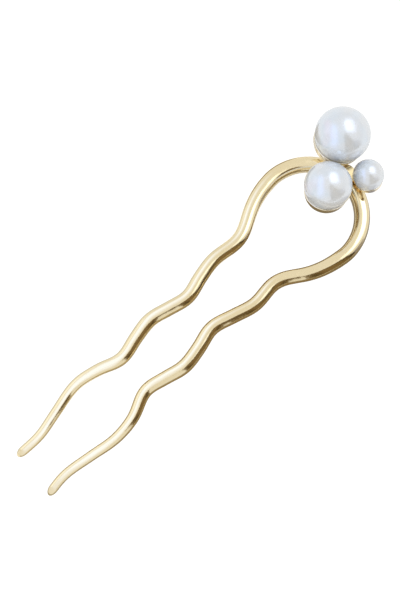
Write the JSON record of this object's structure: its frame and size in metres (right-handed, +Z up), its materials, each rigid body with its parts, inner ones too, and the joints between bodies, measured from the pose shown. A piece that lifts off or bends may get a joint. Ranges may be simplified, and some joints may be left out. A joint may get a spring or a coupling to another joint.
{
  "type": "hair pin",
  "caption": "Flat-backed wavy two-prong metal hair fork with a rounded loop and a cluster of imitation pearls set in cups on its crown.",
  "frame": {"origin": "on the plane of the fork's flat back, under the middle of the part's bounding box", "axes": "+X along the prongs towards the crown and its pearls, +Y across the prongs to the large pearl's side, +Z up through the pearls"},
  "size_m": [0.1206, 0.0308, 0.018],
  "materials": {
    "gold_plate": "polished gold plate",
    "pearl": "pearlescent lacquer",
    "peg_steel": "drawn wire",
    "cement": "clear set cement",
    "solder": "plated solder"
  },
  "bodies": {
    "root": {"fork": "gold_plate", "seat_post": "gold_plate", "cup_large": "gold_plate", "cup_medium": "gold_plate", "cup_small": "gold_plate", "pearl_large": "pearl", "pearl_medium": "pearl", "pearl_small": "pearl", "peg_large": "peg_steel", "peg_medium": "peg_steel", "peg_small": "peg_steel", "cement_large": "cement", "cement_medium": "cement", "cement_small": "cement", "solder_large": "solder", "solder_small": "solder"}
  },
  "joints": []
}
